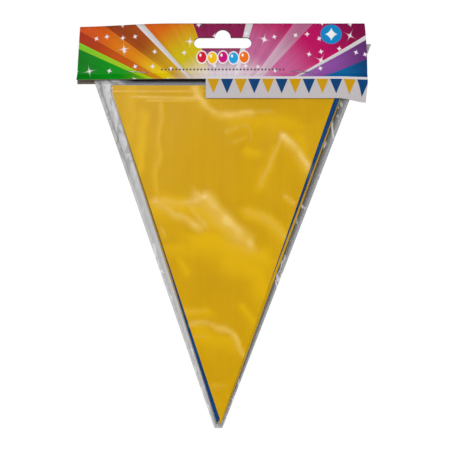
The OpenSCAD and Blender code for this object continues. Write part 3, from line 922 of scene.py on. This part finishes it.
FILM = clear_film()
for name, side, nodes in (("bag_front_ply", -1, ("bag_mouth_front", "bag_front_film")),
                          ("bag_back_ply", 1, ("bag_mouth_back", "bag_back_film"))):
    bm = cut_ply()
    keep_flat_uv(bm)
    names = ("beyond", "outwards", "fold_highlight", "pocket")
    beyond, out, fold_highlight, pocket = [bm.verts.layers.float.new(word) for word in names]
    fold, highlight_share, glow_share = folds_at(np.array([vertex.co.xy for vertex in bm.verts]))
    for i, vertex in enumerate(bm.verts):
        vertex[fold_highlight] = min(1.0, highlight_share[i]) if side < 0 else 0.0
        place = film_place(vertex.co.x, vertex.co.y, side, fold[i])
        vertex.co, vertex[beyond], vertex[out], vertex[pocket] = place
    if side > 0:
        bmesh.ops.reverse_faces(bm, faces=bm.faces[:])
    ply = finish_sheet(bm, name, FILM_T, [FILM])
    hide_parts(*nodes)
    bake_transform(ply)

# %% [markdown]
# ## Pennant film
#
# The pennants are polyethylene film, dyed through: a waxy, slightly soft gloss, in a strong colour that
# is never quite even. The film is blown as a tube, so its faint streaks run one way, down the pennant.
# Handling leaves hair-fine scuffs. One function makes both colours.


# %% Shader graph of the pennants
def dyed_film(name, deep, middle, light, glow, pale):
    """Dyed polyethylene film: strong colour with faint streaks, and a waxy gloss with fine scuffs."""
    material, tree, shader = new_material(name)
    uv = add(tree, "UVMap", uv_map="flat")
    # Streaks 3 mm across and twenty times as long, over clouds 30 mm wide
    stretched = add(tree, "Mapping", {"Vector": uv, "Scale": (1 / 3, 1 / 60, 1)})
    streaks = add(tree, "TexNoise", {"Vector": stretched, "Scale": 1, "Detail": 3})
    clouds = add(tree, "TexNoise", {"Vector": uv, "Scale": 1 / 30, "Detail": 3, "Distortion": 0.7})
    shade = add(tree, "Mix", {0: 0.35, 6: clouds.outputs["Color"], 7: streaks.outputs["Color"]},
                data_type="RGBA")
    tone = add(tree, "ValToRGB", {"Fac": shade})
    tone.color_ramp.elements[0].position = 0.3
    tone.color_ramp.elements[0].color = linear(deep)
    tone.color_ramp.elements[1].position = 0.72
    tone.color_ramp.elements[1].color = linear(light)
    tone.color_ramp.elements.new(0.5).color = linear(middle)
    # Painted light: where the film bows towards the light it glows,
    # and a painted highlight makes it palest along the ridge of a fold
    painted_glow = add(tree, "Attribute", attribute_name="painted_glow").outputs["Fac"]
    tone = add(tree, "Mix", {0: painted_glow, 6: tone, 7: linear(glow)}, data_type="RGBA")
    ridge_highlight = add(tree, "MapRange", {"Value": painted_glow, "From Min": 1.0, "From Max": 1.6})
    tone = add(tree, "Mix", {0: ridge_highlight, 6: tone, 7: linear(pale)}, data_type="RGBA")
    # Painted shade: where it runs in behind the sheets in front it is nearly black
    beyond = add(tree, "Attribute", attribute_name="beyond").outputs["Fac"]
    painted_tuck_shade = add(tree, "MapRange", {"Value": beyond, "From Min": 0.2, "From Max": 0.7, "To Min": 0.9,
                                    "To Max": 0})
    tone = add(tree, "Mix", {0: painted_tuck_shade, 6: tone, 7: linear("120E08")}, data_type="RGBA")
    tree.links.new(tone.outputs[2], shader.inputs["Base Color"])
    # Scuffs: thin lines of a stretched noise
    turned = add(tree, "Mapping", {"Vector": uv, "Rotation": (0, 0, 0.5), "Scale": (1 / 0.5, 1 / 12, 1)})
    scuffs = add(tree, "TexNoise", {"Vector": turned, "Scale": 1, "Detail": 4})
    rough = add(tree, "MapRange", {"Value": scuffs, "From Min": 0.4, "From Max": 0.7, "To Min": 0.26,
                                   "To Max": 0.44})
    tree.links.new(rough.outputs[0], shader.inputs["Roughness"])
    height = add(tree, "Math", {0: clouds, 1: scuffs}, operation="ADD")
    bump = add(tree, "Bump", {"Height": height, "Strength": 0.3, "Distance": 0.12 * MM})
    tree.links.new(bump.outputs[0], shader.inputs["Normal"])
    shader.inputs["IOR"].default_value = 1.51
    shader.inputs["Specular IOR Level"].default_value = 0.08
    return material


YELLOW = dyed_film("yellow_polyethylene_film", "C89800", "D09F00", "D8A900", "E6B600", "F6D468")
BLUE = dyed_film("blue_polyethylene_film", "002A56", "003A70", "0C528C", "3C7CB4", "7CA8D0")

# %% [markdown]
# ## The pennants
#
# Each pennant is a triangle of film, and its top edge is folded over the ribbon and welded into a hem. The
# grid that it starts from has one row for each step of its way: up the front, over the fold and a hem's
# height down the back. A grid keeps its rows level, so the hem's weld can pucker as a heated line does.
# The CAD node gives the pennant's place: its tip, and the two far corners of its hem.

# %% One pennant's rows
HEM = 5.0
HEM_T = 0.23                                   # outside, tape and both walls
SHEET_T = 0.04
BLUNT = 0.3                                    # half the width of the tip
fold_y = (HEM_T - SHEET_T) / 2
HEM_WELD = 0.3                                 # the weld's middle lies this far above the hem's edge
PUCKER, GROOVE = 0.1, 0.05                     # the film puckers at the weld, and the weld sinks in


def pennant_rows(length):
    """Y and height of each row, from the tip up the front, over the fold and down the back."""
    rim = length - HEM
    heights = list(np.arange(0, rim - 8, 1.8)) + list(np.arange(rim - 8, length - fold_y, 0.55))
    front = [(-fold_y, h) for h in heights]
    over = arc(0, length - fold_y - SHEET_T / 2, fold_y, 180, 0, 6)
    back = [(fold_y, h) for h in np.arange(length - 0.9, rim + 0.8, -0.8)]
    return front + over + back + [(0.0, rim + 0.45), (-fold_y + SHEET_T + 0.005, rim)]


def pennant_placed(node):
    """The matrix that stands a pennant on its tip as the CAD node does, its width and its length."""
    points = node_points(node)
    low, high = node_box(node)
    left = min(points, key=lambda point: point.x)
    right = max(points, key=lambda point: point.x)
    corner = math.hypot(right.x - left.x, right.z - left.z)
    width = math.sqrt(corner ** 2 - HEM ** 2)
    lean = math.atan2(HEM, width) - math.atan2(right.z - left.z, right.x - left.x)
    tips = [point for point in points if point.z < low.z + 0.05]
    tip = sum(tips, Vector()) / len(tips)
    hem_y = sum(p.y for p in points if p.x < low.x + 0.05) / sum(p.x < low.x + 0.05 for p in points)
    length = ((right.z - tip.z) + width / 2 * math.sin(lean)) / math.cos(lean)
    tip.y += HEM_T / 2 - SHEET_T / 2
    tilt = math.atan2(hem_y - tip.y, length - HEM)
    turn = Matrix.Rotation(-tilt, 4, "X") @ Matrix.Rotation(lean, 4, "Y")
    return Matrix.Translation(tip) @ turn, width, length


# %% Make all twelve
def pennant(name, node, material, body):
    """One pennant, folded over the ribbon and laid in the pile."""
    placed, width, length = pennant_placed(node)
    rows = pennant_rows(length)
    rim = length - HEM
    foremost = node == pennant_nodes[0]
    columns = 92 if foremost else 46
    bm = bmesh.new()
    painted_glow, beyond = [bm.verts.layers.float.new(word) for word in ("painted_glow", "beyond")]
    bmesh.ops.create_grid(bm, x_segments=columns, y_segments=len(rows) - 1, size=0.5)
    flat_up = np.concatenate([[0], np.cumsum([math.dist(a, b) for a, b in zip(rows, rows[1:])])])
    ways = {}
    for vertex in bm.verts:
        row = round((vertex.co.y + 0.5) * (len(rows) - 1))
        y, height = rows[row]
        half = BLUNT + (width / 2 - BLUNT) * min(1, height / rim)
        x = 2 * vertex.co.x * half
        ways[vertex] = (y, height)
        vertex.co = (x, flat_up[row], 0)
    keep_flat_uv(bm)
    flat_places = [placed @ Vector((vertex.co.x, y, height)) for vertex, (y, height) in ways.items()]
    if foremost:
        fold, highlight_share, glow_share = folds_at(np.array([(place.x, place.z) for place in flat_places]))
    for i, (vertex, (y, height)) in enumerate(ways.items()):
        x = vertex.co.x
        # The weld shrinks the film, which puckers on both sides of it
        from_weld = height - rim - HEM_WELD
        puckered = PUCKER * math.exp(-abs(from_weld) / 1.8)
        y += puckered * swell(x, height, 1.9, 3, seed=len(name) + placed.translation.y)
        y -= GROOVE * math.exp(-(from_weld / 0.35) ** 2)
        vertex.co = placed @ Vector((x, y, height))
        vertex.co.y += pile_swell(vertex.co.x, vertex.co.z)
        if foremost:
            # The front pennant follows the film's folds, a little less high, and carries their painted glow
            vertex.co.y -= 0.7 * fold[i] * ramp(-vertex.co.z, 36, 40)
            vertex[painted_glow] = glow_share[i]
        if node in (pennant_nodes[0], pennant_nodes[-1]):
            # The outer face of the first and of the last pennant is in plain view, so no painted shade is
            # laid on it
            vertex[beyond] = width
        else:
            vertex[beyond] = outside(vertex.co.x, vertex.co.z, edges[:pennant_nodes.index(node)])
    piece = finish_sheet(bm, name, SHEET_T, [material])
    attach(piece, body)
    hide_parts(node)
    return piece


for node in pennant_nodes:
    colour = YELLOW if node.startswith("yellow") else BLUE
    pennant("sheet_of_" + node, node, colour, "pennant_" + node[-2:])

# %% [markdown]
# ## Ribbon and staples
#
# These two kinds of CAD node already have the right shape, so they keep it and only get their material.
# The ribbon is woven from polypropylene tape. Its threads are finer than the picture can show, so what is
# drawn is coarser: slow bands about 3 mm long. The staples are galvanised steel wire: a metal with a dull,
# patchy zinc skin.


# %% Shader graphs of ribbon and wire
def woven_ribbon():
    """Woven polypropylene ribbon: white, a little shiny, with bands where its threads bunch."""
    material, tree, shader = new_material("woven_polypropylene_ribbon")
    place = add(tree, "TexCoord").outputs["Object"]
    # Wave Texture turns 20 radians in one unit at scale 1
    band = 3.14 * MM
    weave = add(tree, "TexWave", {"Vector": place, "Scale": math.tau / (20 * band), "Distortion": 0.2},
                bands_direction="X")
    fibre = add(tree, "TexNoise", {"Vector": place, "Scale": 1 / (0.3 * MM), "Detail": 2})
    tone = add(tree, "Mix", {0: weave.outputs["Fac"], 6: linear("C9C9C4"), 7: linear("EDEDEA")},
               data_type="RGBA")
    height = add(tree, "Math", {0: weave.outputs["Fac"], 1: fibre}, operation="ADD")
    bump = add(tree, "Bump", {"Height": height, "Strength": 0.5, "Distance": 0.05 * MM})
    tree.links.new(tone.outputs[2], shader.inputs["Base Color"])
    tree.links.new(bump.outputs[0], shader.inputs["Normal"])
    shader.inputs["Roughness"].default_value = 0.5
    return material


def galvanised_wire():
    """Drawn and galvanised steel wire: grey metal with a patchy zinc skin."""
    material, tree, shader = new_material("galvanised_steel_wire")
    place = add(tree, "TexCoord").outputs["Object"]
    patches = add(tree, "TexNoise", {"Vector": place, "Scale": 1 / (0.8 * MM), "Detail": 3})
    tone = add(tree, "ValToRGB", {"Fac": patches})
    tone.color_ramp.elements[0].position = 0.35
    tone.color_ramp.elements[0].color = linear("7E8286")
    tone.color_ramp.elements[1].position = 0.65
    tone.color_ramp.elements[1].color = linear("B4B7BA")
    rough = add(tree, "MapRange", {"Value": patches, "To Min": 0.25, "To Max": 0.5})
    tree.links.new(tone.outputs[0], shader.inputs["Base Color"])
    tree.links.new(rough.outputs[0], shader.inputs["Roughness"])
    shader.inputs["Metallic"].default_value = 1.0
    return material


RIBBON, WIRE = woven_ribbon(), galvanised_wire()
for name, material in (("carrier_tape", RIBBON), ("staple_left", WIRE), ("staple_right", WIRE)):
    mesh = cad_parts[name].data
    mesh.materials.clear()
    mesh.materials.append(material)
    print(name, "is", material.name)
